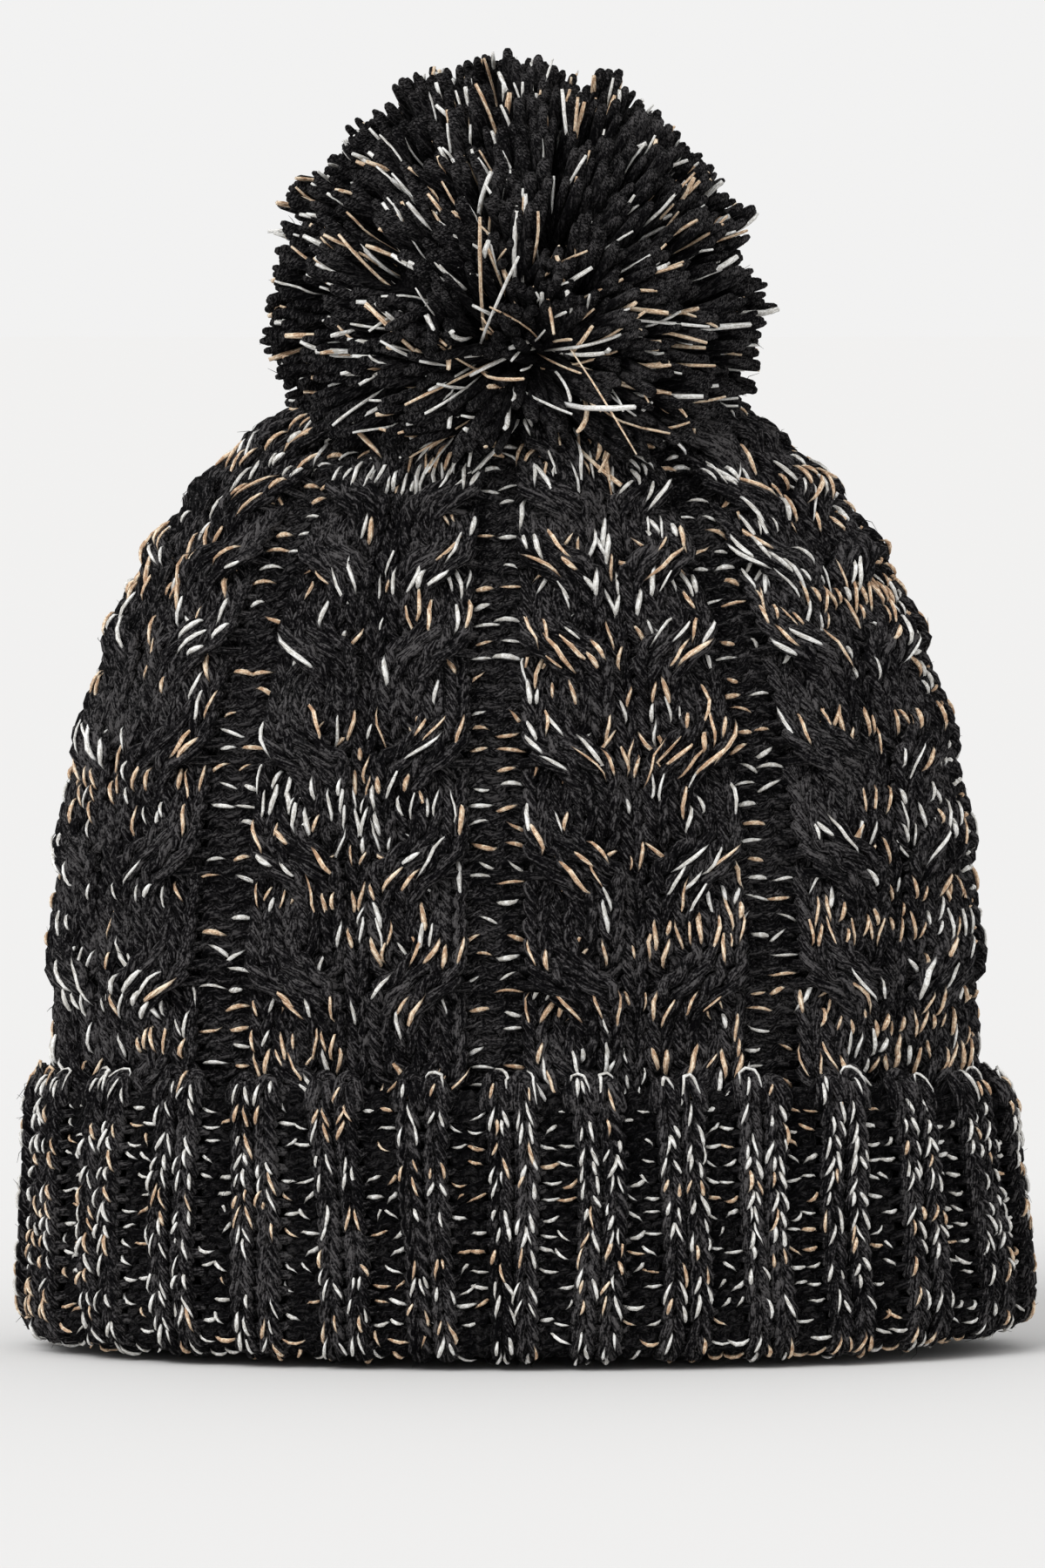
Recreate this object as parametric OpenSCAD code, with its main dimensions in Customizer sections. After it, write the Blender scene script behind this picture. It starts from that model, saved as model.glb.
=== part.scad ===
// Knit beanie: a cable-knit crown, a ribbed brim turned up into a cuff, and a yarn pompom.
// It stands on the fold of its cuff. Z is up, the front faces -Y, and the origin is in the
// middle of the opening, at the level of the fold. All sizes are in millimetres.

/* [Crown] */
// Width of the cable-knit crown at its widest
crown_w = 212; // [204:2:214]
// Depth of the crown at its widest, lightly filled
crown_d = 104; // [96:2:104]
// Height of the drawn-in top of the crown
crown_top_z = 219; // [206:2:230]
// Height at which the crown is widest
crown_wide_z = 85; // [80:1:95]
// Fullness of the dome from the front: the power of the cosine that narrows it
dome_power = 0.69; // [0.6:0.01:0.8]
// Fullness of the dome from the side, which lets its plan turn from oval to round
side_power = 0.48; // [0.44:0.01:0.5]
// Thickness of the fabric in the purl gutters
gutter_t = 3.8; // [3:0.1:5]
// How far the cables stand proud of the gutters
cable_relief = 2.2; // [1:0.1:3]
// Number of cable panels round the crown
panels = 8; // [6:1:10]

/* [Cuff] */
// Width of the cuff at the fold
cuff_w = 230; // [230:1:236]
// Depth of the cuff at the fold
cuff_d = 124; // [124:1:130]
// Height of the turned-up cuff
cuff_h = 62; // [58:1:66]
// How far each side of the cuff leans in from the fold to its top
cuff_lean = 4.5; // [3:0.5:5]
// Thickness of the turned-up layer at a rib
cuff_t = 5.8; // [5:0.1:6.2]
// How far the knit ribs stand proud of the purl ribs
rib_relief = 1.8; // [1:0.1:2.4]
// Number of ribs round the cuff
ribs = 28; // [24:1:30]
// Thickness of the inner layer of the brim
band_t = 4.4; // [3.6:0.1:4.6]
// Height of the rounded fold
fold_h = 6; // [5:0.5:8]

/* [Pompom] */
// Width of the pompom
pompom_w = 108; // [90:2:116]
// Height of the top of the pompom
pompom_top_z = 291; // [280:2:304]
// Height at which the pompom is widest
pompom_wide_z = 236; // [232:1:244]
// Radius of the rim under the pompom, round the dish that clears the crown
pompom_rim_r = 46; // [36:1:48]
// Radius of the tie yarn's bundle above the crown
neck_r = 2.2; // [1.6:0.1:2.4]

/* [Care label] */
// Width of the blank care label
label_w = 30; // [20:1:32]
// Length of the label below its stitching
label_l = 26; // [18:1:28]

/* [Hidden] */

charcoal = [0.10, 0.10, 0.11];
black_yarn = [0.06, 0.06, 0.065];
cream_yarn = [0.86, 0.83, 0.78];
tan_yarn = [0.80, 0.66, 0.48];

gap = 0.4;                      // clearance between pieces of one body
crown_t = gutter_t + cable_relief;
crown_rise = crown_top_z - crown_wide_z;
seat_z = cuff_h - 2;            // where the crown's cables start and the rib band ends
seat_share = 0.975;             // the crown's width there, as a share of its widest
hole_angle = 88;                // the dome's angle where the drawn-in stitches end
knit_share = 0.62;              // the share of each rib's pitch that stands proud
panel_steps = 12;               // points across a cable panel
rib_steps = 4;                  // points across a rib
pivot_z = crown_top_z + 2.5;    // where the pompom's tie bends
loop_r = 1.7;
loop_l = 4.4;
hole_r = 3;                     // the eye that the tie passes through
anchor_l = 10;                  // the tie's strands inside the crown, down to their knot
knot_r = 5;
dish_z = pivot_z + 4;           // the middle of the dish under the pompom
rim_z = crown_top_z + 2.5;      // the lowest the pompom reaches, over the crown's shoulders
core_z = pompom_wide_z;         // the middle of the bound waist
core_half = 7;
core_r = 7;
waist_r = 5;
waist_half = 3.2;
wrap_r = 1;
seam_w = 4;
seam_t = 2.8;
seam_gap = 0.8;                 // clearance between the seam and the fabric it joins
label_t = 0.8;
hem_r = 0.8;                    // the rolled top edge of the label, which it turns on
label_top_z = 86;
stitch_l = 2.4;
stitch_r = 0.5;

// The share of the way round an oval twice as wide as deep, against the angle of its point.
arc_steps = 180;
function oval_step(i) =
    let (t = (i + 0.5) * 360 / arc_steps) norm([crown_w * cos(t), crown_d * sin(t)]);
arc_sums = [for (i = 0, s = 0; i <= arc_steps; s = s + oval_step(i), i = i + 1) s];
arc_table = [for (i = [0:arc_steps]) [arc_sums[i] / arc_sums[arc_steps], i * 360 / arc_steps]];
function oval_angle(share) = lookup(share, arc_table);

// A closed oval of half-width a and half-depth b at height z, grown by proud[i] at each point.
function oval_ring(a, b, z, proud) =
    let (n = len(proud))
    [for (i = [0:n - 1]) let (t = oval_angle(i / n))
        [(a + proud[i]) * sin(t), -(b + proud[i]) * cos(t), z]];
function plain(n) = [for (i = [0:n - 1]) 0];

// A tube that closes on itself, lofted through rings that run up its outside and down its inside.
module oval_tube(rings) {
    n = len(rings[0]);
    m = len(rings);
    polyhedron(
        points = [for (ring = rings) each ring],
        faces = [for (j = [0:m - 1], i = [0:n - 1])
            let (a = j * n + i, b = j * n + (i + 1) % n,
                 c = ((j + 1) % m) * n + (i + 1) % n, d = ((j + 1) % m) * n + i)
            each [[a, c, b], [a, d, c]]],
        convexity = 6);
}

// A solid of constant section swept through points, with its section's axes given at each.
module swept(points, section) {
    n = len(section);
    m = len(points);
    last = (m - 1) * n;
    polyhedron(
        points = [for (p = points, q = section) [p[0] + q[0], p[1] + q[1] * p[3], p[2] + q[1] * p[4]]],
        faces = concat(
            [for (j = [0:m - 2], i = [0:n - 1])
                let (a = j * n + i, b = j * n + (i + 1) % n, c = b + n, d = a + n)
                each [[a, b, c], [a, c, d]]],
            [[for (i = [n - 1:-1:0]) i], [for (i = [0:n - 1]) last + i]]),
        convexity = 4);
}

// Sizes of the dome. The share is 1 at the widest level and falls to 0 at the very top.
function dome_share(angle) = pow(cos(angle), dome_power);
function side_share(angle) = pow(cos(angle), side_power);

// Height of each cable panel's surface above the gutters, at a share of the way across it.
function panel_proud(s) =
    let (edge = 0.12, half = 0.5 - edge, x = abs(s - 0.5) / half)
    x >= 1 ? 0 : cable_relief * (0.4 + 0.6 * pow(sin(180 * x), 0.5)) * min(1, 4 * (1 - x));
crown_proud = [for (p = [1:panels], i = [0:panel_steps - 1]) panel_proud(i / panel_steps)];

function crown_ring(wide, deep, z, inset, proud) =
    oval_ring((crown_w / 2 - inset) * wide, (crown_d / 2 - inset) * deep, z, proud);
function lower_share(z) =
    1 - (1 - seat_share) * pow((crown_wide_z - z) / (crown_wide_z - seat_z), 2);

low_levels = [seat_z, (seat_z + crown_wide_z) / 2];
dome_angles = [0, 10, 20, 29, 38, 46, 54, 61, 68, 74, 80, 85, hole_angle];

module cable_crown() {
    outside = concat(
        [for (z = low_levels) let (s = lower_share(z)) crown_ring(s, s, z, cable_relief, crown_proud)],
        [for (a = dome_angles) let (fade = min(1, 3 * cos(a)))
            crown_ring(dome_share(a), side_share(a), crown_wide_z + crown_rise * sin(a),
                cable_relief, crown_proud * fade)]);
    n = len(crown_proud);
    inside = concat(
        [for (k = [len(dome_angles) - 1:-1:0]) let (a = dome_angles[k])
            crown_ring(dome_share(a), side_share(a),
                crown_wide_z + (crown_rise - crown_t) * sin(a), crown_t, plain(n))],
        [for (k = [1:-1:0]) let (s = lower_share(low_levels[k]))
            crown_ring(s, s, low_levels[k], crown_t, plain(n))]);
    color(black_yarn) oval_tube(concat(outside, inside));
}

// The cuff and the band lean in from the fold upwards. inset is measured in from the outside.
function lean_at(z) = cuff_lean * z / cuff_h;
function brim_ring(z, inset, proud) =
    oval_ring(cuff_w / 2 - lean_at(z) - inset, cuff_d / 2 - lean_at(z) - inset, z, proud);

// Each rib is proud over its knit stitches and low over its purl stitches.
function rib_proud(i) = (i % rib_steps) / rib_steps < knit_share ? rib_relief : 0;
cuff_proud = [for (i = [0:ribs * rib_steps - 1]) rib_proud(i)];
band_inset = cuff_t + gap;

module turned_cuff() {
    n = len(cuff_proud);
    top_round = 2;
    color(charcoal) oval_tube([
        brim_ring(fold_h, rib_relief, cuff_proud),
        brim_ring(cuff_h / 2, rib_relief, cuff_proud),
        brim_ring(cuff_h - top_round, rib_relief, cuff_proud),
        brim_ring(cuff_h, rib_relief + top_round / 2, cuff_proud),
        brim_ring(cuff_h, cuff_t, plain(n)),
        brim_ring(fold_h, cuff_t, plain(n))]);
}

module rib_band() {
    n = 2 * ribs;
    color(black_yarn) oval_tube([
        brim_ring(fold_h, band_inset, plain(n)),
        brim_ring(seat_z, band_inset, plain(n)),
        brim_ring(seat_z, band_inset + band_t, plain(n)),
        brim_ring(fold_h, band_inset + band_t, plain(n))]);
}

// The brim doubles back here. Its underside is flat, where the hat rests.
module cuff_fold() {
    n = 2 * ribs;
    full = band_inset + band_t;
    section = [[0, 1], [0.12, 0.25], [0.33, 0], [0.67, 0], [0.88, 0.25], [1, 1]];
    color(charcoal)
        oval_tube([for (p = section) brim_ring(fold_h * p[1], full * p[0], plain(n))]);
}

// The first row of stitches, which ends up along the top of the turned-up cuff.
module cast_on_edge() {
    n = 2 * ribs;
    bead = 2.6;
    middle = cuff_t / 2 + 0.5;
    section = [[-0.7, 0], [-1, 0.5], [-0.6, 1], [0.6, 1], [1, 0.5], [0.7, 0]];
    color(cream_yarn) oval_tube([for (p = section)
        oval_ring(cuff_w / 2 - cuff_lean - middle - p[0] * bead / 2,
            cuff_d / 2 - cuff_lean - middle - p[0] * bead / 2,
            cuff_h + bead * p[1], plain(n))]);
}

// The joined edges of the fabric, a ridge up the inside of the centre back.
seam_angles = [-6, 0, 10, 20, 29, 38, 46, 52];
function seam_point(a) =
    let (inner = crown_d / 2 - crown_t, rise = crown_rise - crown_t,
         y = inner * side_share(a), z = crown_wide_z + rise * sin(a),
         dy = -inner * side_power * pow(cos(a), side_power - 1) * sin(a), dz = rise * cos(a),
         l = norm([dy, dz]), ny = -dz / l, nz = dy / l)
    [0, y + seam_gap * ny, z + seam_gap * nz, ny, nz];

module back_seam() {
    section = [[-seam_w / 2, 0], [-seam_w / 2, seam_t * 0.6], [-seam_w / 4, seam_t],
               [seam_w / 4, seam_t], [seam_w / 2, seam_t * 0.6], [seam_w / 2, 0]];
    color(charcoal) swept([for (a = seam_angles) seam_point(a)], section);
}

// The last stitches, pulled together into a small pleated disc with an eye for the tie.
module crown_gather() {
    disc_r = crown_w / 2 * dome_share(hole_angle) * 0.836;
    disc_t = 7;
    color(black_yarn) rotate_extrude($fn = 48) polygon([
        [hole_r, crown_top_z - disc_t], [disc_r * 0.74, crown_top_z - disc_t],
        [disc_r, crown_top_z - disc_t + 2], [disc_r, crown_top_z - 2],
        [disc_r * 0.84, crown_top_z - 0.6],
        [hole_r + 1, crown_top_z], [hole_r, crown_top_z]]);
}

// The drawstring yarn that closes the top of the crown.
module gather_yarn() {
    string_r = 1.1;
    color(cream_yarn) translate([0, 0, crown_top_z + string_r + 0.1])
        rotate_extrude($fn = 48) translate([6, 0]) circle(string_r, $fn = 16);
}

module anchor_strands() {
    color(tan_yarn) translate([0, 0, crown_top_z - anchor_l])
        cylinder(r = hole_r - gap, h = anchor_l + 0.2, $fn = 32);
}

module anchor_knot() {
    color(tan_yarn) translate([0, 0, crown_top_z - anchor_l - knot_r - 0.2])
        sphere(knot_r, $fn = 32);
}

// Two turns of the tie that cross here, where it bends between the crown and the pompom.
module tie_loop() {
    color(tan_yarn) translate([0, 0, pivot_z]) {
        rotate([0, 90, 0]) cylinder(r = loop_r, h = loop_l, center = true, $fn = 32);
        rotate([90, 0, 0]) cylinder(r = loop_r, h = loop_l, center = true, $fn = 32);
    }
}

neck_z = pivot_z + loop_r + 0.3;
cavity_z = core_z - core_half - 0.5;

module tie_neck() {
    color(tan_yarn) translate([0, 0, neck_z])
        cylinder(r = neck_r, h = cavity_z - neck_z - gap, $fn = 32);
}

// The middle of the cut yarn, pinched to a waist by the binding.
module pompom_core() {
    color(black_yarn) rotate_extrude($fn = 48) polygon([
        [0, core_z - core_half], [core_r, core_z - core_half], [core_r, core_z - core_half / 2],
        [waist_r, core_z - waist_half], [waist_r, core_z + waist_half],
        [core_r, core_z + core_half / 2],
        [core_r, core_z + core_half], [0, core_z + core_half]]);
}

module pompom_binding() {
    pitch = 2 * wrap_r + 0.05;
    color(tan_yarn) for (k = [-1:1])
        translate([0, 0, core_z + k * pitch])
            rotate_extrude($fn = 48) translate([waist_r + wrap_r + 0.1, 0])
                circle(wrap_r, $fn = 16);
}

// The ball of cut yarn ends, hollow round the bound core and open below for the tie.
module pompom_ball() {
    r = pompom_w / 2;
    bore = neck_r + gap;
    room = core_r + 0.6;
    roof = core_z + core_half + 0.6;
    top = [for (a = [90:-6:0])
        [r * cos(a), pompom_wide_z + (pompom_top_z - pompom_wide_z) * sin(a)]];
    under = [for (a = [15:15:90])
        [pompom_rim_r + (r - pompom_rim_r) * cos(a), pompom_wide_z - (pompom_wide_z - rim_z) * sin(a)]];
    dish = [for (x = [0.7, 0.4]) [pompom_rim_r * x, dish_z - (dish_z - rim_z) * x * x]];
    color(black_yarn) rotate_extrude($fn = 72) polygon(concat(
        [[0, roof]], top, under, dish,
        [[bore, dish_z], [bore, cavity_z], [room, cavity_z], [room, roof]]));
}

label_y = crown_d / 2 - crown_t - seam_t - 2;

// The stitches that hold the label's top edge to the seam.
module label_stitching() {
    color(cream_yarn) for (x = [-3:2:3])
        translate([x * label_w / 8, label_y - label_t / 2, label_top_z + hem_r + stitch_r + gap])
            rotate([-90, 0, 0]) cylinder(r = stitch_r, h = stitch_l, $fn = 16);
}

module care_label() {
    color(cream_yarn) {
        translate([-label_w / 2, label_y - label_t, label_top_z - label_l])
            cube([label_w, label_t, label_l]);
        translate([-label_w / 2, label_y - label_t / 2, label_top_z])
            rotate([0, 90, 0]) cylinder(r = hem_r, h = label_w, $fn = 32);
    }
}

cable_crown();
rib_band();
turned_cuff();
cuff_fold();
cast_on_edge();
back_seam();
crown_gather();
gather_yarn();
anchor_strands();
anchor_knot();
label_stitching();
care_label();
tie_loop();
tie_neck();
pompom_core();
pompom_binding();
pompom_ball();
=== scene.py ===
"""A knit beanie, stitch by stitch: a cable-knit crown, a ribbed brim turned up into a cuff, and a pompom.

Every row of knitting is one tube of yarn, laid along the loops of its stitches. Light strands that are
plied into the yarn come to its surface as short flecks. Lengths are in millimetres up to the point
where a mesh is made, and +X is right, +Y back and +Z up, as in the CAD model.
"""

import math

import bmesh
import bpy
import numpy as np
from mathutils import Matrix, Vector


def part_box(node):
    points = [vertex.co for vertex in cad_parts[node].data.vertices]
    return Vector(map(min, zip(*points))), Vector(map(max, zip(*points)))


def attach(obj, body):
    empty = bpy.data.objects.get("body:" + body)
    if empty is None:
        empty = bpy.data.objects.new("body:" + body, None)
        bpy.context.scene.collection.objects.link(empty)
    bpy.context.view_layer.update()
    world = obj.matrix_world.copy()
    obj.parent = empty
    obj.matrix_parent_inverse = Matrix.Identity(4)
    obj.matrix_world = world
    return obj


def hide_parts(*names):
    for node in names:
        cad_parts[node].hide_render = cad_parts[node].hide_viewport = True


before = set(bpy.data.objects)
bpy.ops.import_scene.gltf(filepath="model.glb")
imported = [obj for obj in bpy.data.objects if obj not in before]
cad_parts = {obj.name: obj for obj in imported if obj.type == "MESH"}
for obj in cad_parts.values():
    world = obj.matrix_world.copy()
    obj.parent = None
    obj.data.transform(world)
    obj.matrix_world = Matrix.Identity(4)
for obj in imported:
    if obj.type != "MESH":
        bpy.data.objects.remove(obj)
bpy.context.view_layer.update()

MM = 0.001
TURN = 2 * math.pi
rng = np.random.default_rng(20)


def size_mm(node):
    """The lowest and highest corners of a CAD node, in millimetres."""
    low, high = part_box(node)
    return np.array(low) / MM, np.array(high) / MM


def unit(vectors):
    return vectors / (np.linalg.norm(vectors, axis=-1, keepdims=True) + 1e-12)


def round_points(reach, angle, level):
    """Points at a reach from the upright middle line, an angle round it and a height."""
    return np.stack([reach * np.cos(angle), reach * np.sin(angle), level], axis=1)


# ---------------------------------------------------------------- the shape of the knitted walls

CUFF_HIGH = size_mm("turned_cuff")[1]
CROWN_LOW, CROWN_HIGH = size_mm("cable_crown")
BAND_HIGH = size_mm("rib_band")[1]
BALL_HIGH = size_mm("pompom_ball")[1]
LABEL_LOW, LABEL_HIGH = size_mm("care_label")

# Share of the way round the hat against the angle of the point, on the crown's oval.
ANGLES = np.linspace(0, TURN, 721)
OVAL_STEP = np.hypot(CROWN_HIGH[0] * np.cos(ANGLES), CROWN_HIGH[1] * np.sin(ANGLES))
ROUND = np.concatenate([[0], np.cumsum((OVAL_STEP[1:] + OVAL_STEP[:-1]) / 2)])
ROUND /= ROUND[-1]


class Wall:
    """The middle surface of a knitted wall: ovals that follow a profile, from its first row to its last."""

    def __init__(self, wide, deep, level, shift=0.0):
        self.profile = np.stack([wide, deep, level], axis=1)
        self.shift = shift + np.zeros(len(level))
        step = np.diff(self.profile, axis=0)
        length = np.hypot(np.abs(step[:, :2]).mean(axis=1), step[:, 2])
        self.along = np.concatenate([[0], np.cumsum(length)])
        self.length = self.along[-1]
        self.slope = np.gradient(self.profile, self.along, axis=0)

    def look_up(self, table, s):
        return [np.interp(s, self.along, table[:, k]) for k in range(3)]

    def place(self, share, s, lift):
        """Points at a share of the way round, a length up the wall, and a lift off its right side."""
        angle = np.interp(share % 1.0, ROUND, ANGLES)
        sin, cos = np.sin(angle), np.cos(angle)
        wide, deep, level = self.look_up(self.profile, s)
        d_wide, d_deep, d_level = self.look_up(self.slope, s)
        around = np.stack([wide * cos, deep * sin, np.zeros_like(sin)], axis=-1)
        up = np.stack([d_wide * sin, -d_deep * cos, d_level + np.zeros_like(sin)], axis=-1)
        face = np.cross(around, up)
        face /= np.linalg.norm(face, axis=-1, keepdims=True)
        shift = np.interp(s, self.along, self.shift)
        middle = np.stack([wide * sin + shift, -deep * cos, level + np.zeros_like(sin)], axis=-1)
        return middle + face * lift[..., None], face

    def girth(self, s):
        """The length round the wall, by Ramanujan's rule for an ellipse."""
        a, b, _ = self.look_up(self.profile, s)
        return math.pi * (3 * (a + b) - np.sqrt((3 * a + b) * (a + 3 * b)))


class BrimWall(Wall):
    """The brim's wall: at the two sides its fold rises off the ground and its top edge sags."""

    RISE_LEFT, RISE_RIGHT = 0.6, 3.5
    START_LEFT, START_RIGHT = 0.62, 0.50    # shares of the half width
    RISE_FADES_Z = 28.0     # up to which the fold's rise fades out
    SAG, SAG_Z = 3.4, 30.0  # the sag, and the height it starts at; it is full at twice that height

    def place(self, share, s, lift):
        points, face = super().place(share, s, lift)
        level = np.interp(s, self.along, self.profile[:, 2])
        x = points[..., 0]
        start = np.where(x > 0, self.START_RIGHT, self.START_LEFT)
        side = np.clip((np.abs(x) / CUFF_HIGH[0] - start) / (1 - start), 0, 1) ** 2
        rise = np.where(x > 0, self.RISE_RIGHT, self.RISE_LEFT)
        rise = rise * np.clip(1 - level / self.RISE_FADES_Z, 0, 1)
        points[..., 2] += side * (rise - self.SAG * np.clip((level - self.SAG_Z) / self.SAG_Z, 0, 1))
        return points, face


def crown_wall():
    """The dome. Its width and depth narrow by two powers of a cosine, so its plan is round at the top."""
    wall_inset, fuller_sides = 3.0, 1.6
    widest_z = 85.0
    top_z = CROWN_HIGH[2] - 2.2
    dome_power, side_power = 0.69, 0.48
    last_degree = 87.5
    tuck = 3.0                          # the crown goes on below its CAD solid, behind the cuff
    skirt_in, skirt_h = 0.025, 28.0     # the skirt narrows by this share over this height
    angle = np.radians(np.linspace(0, last_degree, 90))
    wide, deep = CROWN_HIGH[0] + fuller_sides - wall_inset, CROWN_HIGH[1] - wall_inset
    skirt_z = np.linspace(CROWN_LOW[2] - tuck, widest_z, 12)[:-1]
    skirt = 1 - skirt_in * ((widest_z - skirt_z) / skirt_h) ** 2
    return Wall(
        np.concatenate([wide * skirt, wide * np.cos(angle) ** dome_power]),
        np.concatenate([deep * skirt, deep * np.cos(angle) ** side_power]),
        np.concatenate([skirt_z, widest_z + (top_z - widest_z) * np.sin(angle)]), shift=1.0)


def brim_wall():
    """Over the rolled top edge, down the turned-up cuff, round the fold, and up the inside of the brim."""
    outer_inset, inner_inset = 2.9, 8.4
    fold_z, fold_drop = 7.0, 2.7
    roll = 2.0              # the top edge rolls inwards by this radius
    lean = 4.5 / 62         # each side leans in this much for each millimetre up
    rounding, rounded_z = 2.4, 15.0         # the fold is rounder than the wall above it, up to this height
    proud_wide, proud_deep = 0.6, 0.5       # the fold's middle surface, past the top of the CAD cuff
    shift_low, shift_less = 3.6, 1.8        # the cuff was folded a little to one side, most at the fold
    top = CUFF_HIGH[2] - 2.6
    edge_turn = np.linspace(math.radians(75), 0, 6)[:-1]
    turn = np.linspace(0, math.pi, 12)[1:-1]
    middle, half = (outer_inset + inner_inset) / 2, (inner_inset - outer_inset) / 2
    down_z, up_z = np.linspace(top, fold_z, 16), np.linspace(fold_z, BAND_HIGH[2] - 1, 12)
    level = np.concatenate([
        top + roll * np.sin(edge_turn), down_z, fold_z - fold_drop * np.sin(turn), up_z])
    inset = np.concatenate([
        outer_inset + roll * (1 - np.cos(edge_turn)), np.full(len(down_z), outer_inset),
        middle - half * np.cos(turn), np.full(len(up_z), inner_inset)])
    inset = inset + rounding * np.clip(1 - level / rounded_z, 0, 1) ** 2
    shift = shift_low - shift_less * level / CUFF_HIGH[2]
    wide, deep = (half - lean * level - inset
                  for half in (CUFF_HIGH[0] + proud_wide, CUFF_HIGH[1] + proud_deep))
    return BrimWall(wide, deep, level, shift)


# ---------------------------------------------------------------- stitches

YARN_R = 1.28           # the yarn's radius in a relaxed stitch
LOOP_POINTS = 12        # points along the yarn in one stitch
LOOP_BULGE = 0.26       # how far a loop's legs lean out, as a share of a wale
LOOP_REACH = 0.86       # how far a loop reaches past its row, as a share of a row
LOOP_DEPTH = 0.92       # how far the legs stand in front of the row's middle surface
WOBBLE_UP, WOBBLE_ROUND, WOBBLE_OFF = 0.05, 0.03, 0.12      # in rows, in wales, and off the wall
FACE_CHANGE = 2.2       # past this part of a stitch, in radians, the yarn passes to its neighbour's face
CROWD_LEAST, CROWD_MOST, CROWD_POWER = 0.45, 1.15, 0.3      # how a squeezed wale thins its yarn
CROWN_GAP, BRIM_GAP = 4.15, 3.9     # the height of a row


class Fabric:
    """A knitted wall. column() says where a wale runs, and side on which face its stitches' legs are."""

    def __init__(self, wall, rows, side, column, order, depth=LOOP_DEPTH, radius=YARN_R,
                 bulge=LOOP_BULGE, pinch=0.0):
        self.wall, self.rows, self.side = wall, rows, side
        self.column, self.order = column, order
        self.depth, self.radius, self.bulge, self.pinch = depth, radius, bulge, pinch
        self.gap = wall.length / rows

    def row(self, number, points=LOOP_POINTS):
        """The yarn of one row, as arrays of (wales, points in a stitch)."""
        tau = TURN * ((np.arange(points) + 0.5) / points - 0.5)
        middle = (number + 0.5) * self.gap
        wales = self.order(middle)
        count = len(wales)
        wobble = rng.normal(0, 1, (3, count, 1))
        s = middle + self.gap * (LOOP_REACH * np.cos(tau)[None, :] + WOBBLE_UP * wobble[0])
        s = np.clip(s, 0, self.wall.length)
        centre, width, lift = self.column(wales[:, None], s)
        share = centre + width * (
            tau / TURN - self.pinch * np.sin(tau) + self.bulge * np.sin(2 * tau)
            + WOBBLE_ROUND * wobble[1])
        side = np.repeat(self.side[wales][:, None], points, axis=1).astype(float)
        edge = np.clip((np.abs(tau) - FACE_CHANGE) / (math.pi - FACE_CHANGE), 0, 1) / 2
        before, after = np.roll(side, 1, axis=0), np.roll(side, -1, axis=0)
        side = side * (1 - edge) + np.where(tau < 0, before, after) * edge
        depth = -self.depth * np.cos(2 * tau) * side
        place, face = self.wall.place(share, s, lift + depth + WOBBLE_OFF * wobble[2])
        crowd = width[:, :1] * self.wall.girth(s[:, :1]) / self.wale_mm[wales][:, None]
        crowd = np.clip(crowd, CROWD_LEAST, CROWD_MOST)
        radius = np.repeat(self.radius * crowd ** CROWD_POWER, points, axis=1)
        run, slant = self.run(wales, middle)
        return {"place": place.reshape(-1, 3), "face": face.reshape(-1, 3), "radius": radius.ravel(),
                "side": self.side[wales], "wale_mm": self.wale_mm[wales], "points": points,
                "run": run, "slant": slant}

    def run(self, wales, middle):
        """The direction each wale runs in at a row, and the sine of its angle to straight up the wall."""
        low, high = np.full(len(wales), max(middle - 1, 0)), np.full(len(wales), middle + 1.0)
        share, _, lift = self.column(wales, low)
        share_up, _, lift_up = self.column(wales, high)
        start, _ = self.wall.place(share, low, lift)
        run = unit(self.wall.place(share_up, high, lift_up)[0] - start)
        straight_up = unit(self.wall.place(share, high, lift)[0] - start)
        return run, np.linalg.norm(np.cross(run, straight_up), axis=-1)


# The crown: eight panels, each a pair of mirrored ropes with a wale between them, and a purl gutter.
PANELS = 8
KNIT_MM, PURL_MM = 5.4, 6.5
PANEL = [  # (kind, place across the panel in wales from its middle)
    *[("left", k) for k in range(4)], ("spine", 0), *[("right", k) for k in range(4)],
    *[("gutter", k) for k in (-0.5, 0.5)]]
ROPE_AT = 2.5 * KNIT_MM
PANEL_MM = 9 * KNIT_MM + 2 * PURL_MM
GUTTER_AT = PANEL_MM / 2
FIRST_GUTTER = -4.4     # the gutter nearest the middle of the front, from that middle
CROSSINGS_Z = [61.0, 85.2, 112.0, 135.5, 159.0, 177.5, 191.5, 203.0]    # the rows get shorter near the top
ROPE_LIFT, CROSS_LIFT, GUTTER_LIFT, SPINE_LIFT = 1.0, 2.8, -2.5, -0.5
CROSS_LAG, CROSS_SPREAD = 0.28, 0.72    # strands cross quickly, and their wales spread as they do
RELIEF_GIRTH, RELIEF_GROWTH, RELIEF_LEAST = 60, 240, 0.25   # the relief fades where the crown is drawn in
FLANK_SMOOTHING = 0.5   # the hat's two sides, where the fabric is pulled smoother


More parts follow.
